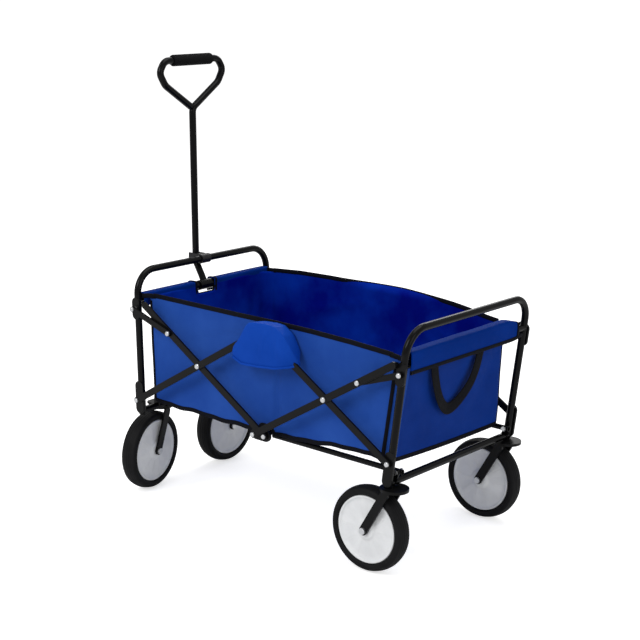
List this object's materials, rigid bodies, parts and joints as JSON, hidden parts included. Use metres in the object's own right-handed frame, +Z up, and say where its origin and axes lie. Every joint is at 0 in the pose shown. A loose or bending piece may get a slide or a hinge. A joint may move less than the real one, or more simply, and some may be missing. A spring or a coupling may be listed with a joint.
{
  "type": "folding wagon",
  "caption": "Collapsible pull wagon with a tubular scissor frame, an open fabric basket, swivel front wheels and a swing-down pull handle.",
  "frame": {"origin": "on the ground, midway between the left and right wheels, 7 mm behind the axis of the centre crossbar that carries the lower hubs", "axes": "+Z up, -X towards the pull-handle end, +X towards the rear end, -Y the left side when facing the handle end from behind"},
  "size_m": [0.817, 0.5042, 0.9849],
  "materials": {
    "frame_black": "gloss powder coat",
    "bracket_black": "satin powder coat",
    "zinc_bolts": "bright zinc plate",
    "fork_black": "satin powder coat",
    "tyre_black": "matte rubber",
    "rim_grey": "matte moulded plastic",
    "clip_plastic": "satin moulded plastic",
    "grip_foam": "matte foam sleeve",
    "fabric_blue": "coated woven polyester",
    "webbing_black": "woven webbing"
  },
  "bodies": {
    "chassis": {"centre_crossbar": "frame_black", "lower_hub_plates": "bracket_black", "lower_hub_bolts": "zinc_bolts", "fabric_basket": "fabric_blue"},
    "arms_a": {"arm_a_left": "bracket_black", "arm_a_right": "bracket_black", "front_crossing_bolts": "zinc_bolts"},
    "arms_b": {"arm_b_left": "bracket_black", "arm_b_right": "bracket_black"},
    "arms_d": {"arm_d_left": "bracket_black", "arm_d_right": "bracket_black", "rear_crossing_bolts": "zinc_bolts", "rear_link_arm_bolts": "zinc_bolts"},
    "arms_c": {"arm_c_left": "bracket_black", "arm_c_right": "bracket_black"},
    "top_joints": {"upper_hub_plates": "bracket_black", "upper_hub_bolts": "zinc_bolts", "top_joint_flaps": "fabric_blue"},
    "front_frame": {"front_u_frame": "frame_black", "front_upper_crossbar": "frame_black", "front_lower_crossbar": "frame_black", "front_lower_brackets": "bracket_black", "front_pivot_bolts": "zinc_bolts", "front_upper_brackets": "bracket_black", "front_link_pivot_bolts": "zinc_bolts", "front_floor_bar_pins": "zinc_bolts", "caster_mount_plates": "bracket_black", "caster_kingpins": "zinc_bolts", "handle_clip": "clip_plastic"},
    "rear_frame": {"rear_u_frame": "frame_black", "rear_upper_crossbar": "frame_black", "rear_lower_crossbar": "frame_black", "rear_lower_brackets": "bracket_black", "rear_pivot_bolts": "zinc_bolts", "rear_upper_brackets": "bracket_black", "rear_link_pivot_bolts": "zinc_bolts", "rear_floor_bar_pins": "zinc_bolts", "rear_fork_left": "fork_black", "rear_fork_right": "fork_black", "rear_axles": "zinc_bolts", "rear_webbing_loop": "webbing_black"},
    "front_link_pair": {"front_links": "bracket_black", "front_link_arm_bolts": "zinc_bolts"},
    "rear_link_pair": {"rear_links": "bracket_black"},
    "front_floor_bar_pair": {"front_floor_bars": "frame_black"},
    "rear_floor_bar_pair": {"rear_floor_bars": "frame_black"},
    "handle": {"pull_handle": "frame_black", "handle_grip": "grip_foam"},
    "front_caster_left": {"front_fork_left": "fork_black", "front_axle_left": "zinc_bolts"},
    "front_wheel_left": {"front_tyre_left": "tyre_black", "front_rim_left": "rim_grey"},
    "rear_wheel_left": {"rear_tyre_left": "tyre_black", "rear_rim_left": "rim_grey"},
    "front_caster_right": {"front_fork_right": "fork_black", "front_axle_right": "zinc_bolts"},
    "front_wheel_right": {"front_tyre_right": "tyre_black", "front_rim_right": "rim_grey"},
    "rear_wheel_right": {"rear_tyre_right": "tyre_black", "rear_rim_right": "rim_grey"}
  },
  "joints": [
    {"name": "fold", "type": "hinge", "parent": "chassis", "child": "arms_a", "pos_m": [0.006, 0, 0.226], "axis": [0, 1, 0], "range_deg": [0, 42], "deforming": ["fabric_basket"]},
    {"name": "front_crossing", "type": "hinge", "parent": "arms_a", "child": "arms_b", "pos_m": [-0.183, 0, 0.343], "axis": [0, 1, 0], "range_deg": [-85, 1]},
    {"name": "front_foot", "type": "hinge", "parent": "arms_b", "child": "front_frame", "pos_m": [-0.37201, 0, 0.22599], "axis": [0, 1, 0], "range_deg": [-1, 43]},
    {"name": "top_pivot", "type": "hinge", "parent": "arms_b", "child": "top_joints", "pos_m": [0.006, 0, 0.46], "axis": [0, 1, 0], "range_deg": [-1, 43]},
    {"name": "rear_hub_pivot", "type": "hinge", "parent": "chassis", "child": "arms_d", "pos_m": [-0.02, 0, 0.226], "axis": [0, 1, 0], "range_deg": [-43, 1]},
    {"name": "rear_crossing", "type": "hinge", "parent": "arms_d", "child": "arms_c", "pos_m": [0.169, 0, 0.343], "axis": [0, 1, 0], "range_deg": [-1, 85]},
    {"name": "rear_foot", "type": "hinge", "parent": "arms_c", "child": "rear_frame", "pos_m": [0.33055, 0, 0.24299], "axis": [0, 1, 0], "range_deg": [-43, 1]},
    {"name": "front_link_pivot", "type": "hinge", "parent": "front_frame", "child": "front_link_pair", "pos_m": [-0.38532, 0, 0.4346], "axis": [0, 1, 0], "range_deg": [-86.63, 1]},
    {"name": "rear_link_pivot", "type": "hinge", "parent": "rear_frame", "child": "rear_link_pair", "pos_m": [0.35089, 0, 0.4295], "axis": [0, 1, 0], "range_deg": [-1, 84.93]},
    {"name": "front_floor_hinge", "type": "hinge", "parent": "front_frame", "child": "front_floor_bar_pair", "pos_m": [-0.372, 0, 0.2285], "axis": [0, 1, 0], "range_deg": [-74.24, 1]},
    {"name": "rear_floor_hinge", "type": "hinge", "parent": "rear_frame", "child": "rear_floor_bar_pair", "pos_m": [0.335, 0, 0.2205], "axis": [0, 1, 0], "range_deg": [-1, 73.81]},
    {"name": "handle_swing", "type": "hinge", "parent": "front_frame", "child": "handle", "pos_m": [-0.38654, 0, 0.456], "axis": [0, -1, 0], "range_deg": [0, 115]},
    {"name": "caster_swivel_left", "type": "hinge", "parent": "front_frame", "child": "front_caster_left", "pos_m": [-0.4, -0.131, 0.19], "axis": [0, 0, 1], "continuous": true},
    {"name": "front_wheel_spin_left", "type": "hinge", "parent": "front_caster_left", "child": "front_wheel_left", "pos_m": [-0.39374, -0.17051, 0.09], "axis": [-0.9877, -0.1564, 0], "continuous": true},
    {"name": "rear_wheel_spin_left", "type": "hinge", "parent": "rear_frame", "child": "rear_wheel_left", "pos_m": [0.279, -0.207, 0.09], "axis": [0, 1, 0], "continuous": true},
    {"name": "caster_swivel_right", "type": "hinge", "parent": "front_frame", "child": "front_caster_right", "pos_m": [-0.4, 0.131, 0.19], "axis": [0, 0, 1], "continuous": true},
    {"name": "front_wheel_spin_right", "type": "hinge", "parent": "front_caster_right", "child": "front_wheel_right", "pos_m": [-0.3993, 0.09101, 0.09], "axis": [-0.9998, -0.0175, 0], "continuous": true},
    {"name": "rear_wheel_spin_right", "type": "hinge", "parent": "rear_frame", "child": "rear_wheel_right", "pos_m": [0.279, 0.207, 0.09], "axis": [0, 1, 0], "continuous": true}
  ],
  "couplings": [
    {"joint": "front_crossing", "follows": "fold", "ratio": -2},
    {"joint": "front_foot", "follows": "fold", "ratio": 1},
    {"joint": "top_pivot", "follows": "fold", "ratio": 1},
    {"joint": "rear_hub_pivot", "follows": "fold", "ratio": -1},
    {"joint": "rear_crossing", "follows": "fold", "ratio": 2},
    {"joint": "rear_foot", "follows": "fold", "ratio": -1},
    {"joint": "front_link_pivot", "follows": "fold", "ratio": -2.0149},
    {"joint": "rear_link_pivot", "follows": "fold", "ratio": 1.9745},
    {"joint": "front_floor_hinge", "follows": "fold", "ratio": -1.7201},
    {"joint": "rear_floor_hinge", "follows": "fold", "ratio": 1.7098}
  ]
}
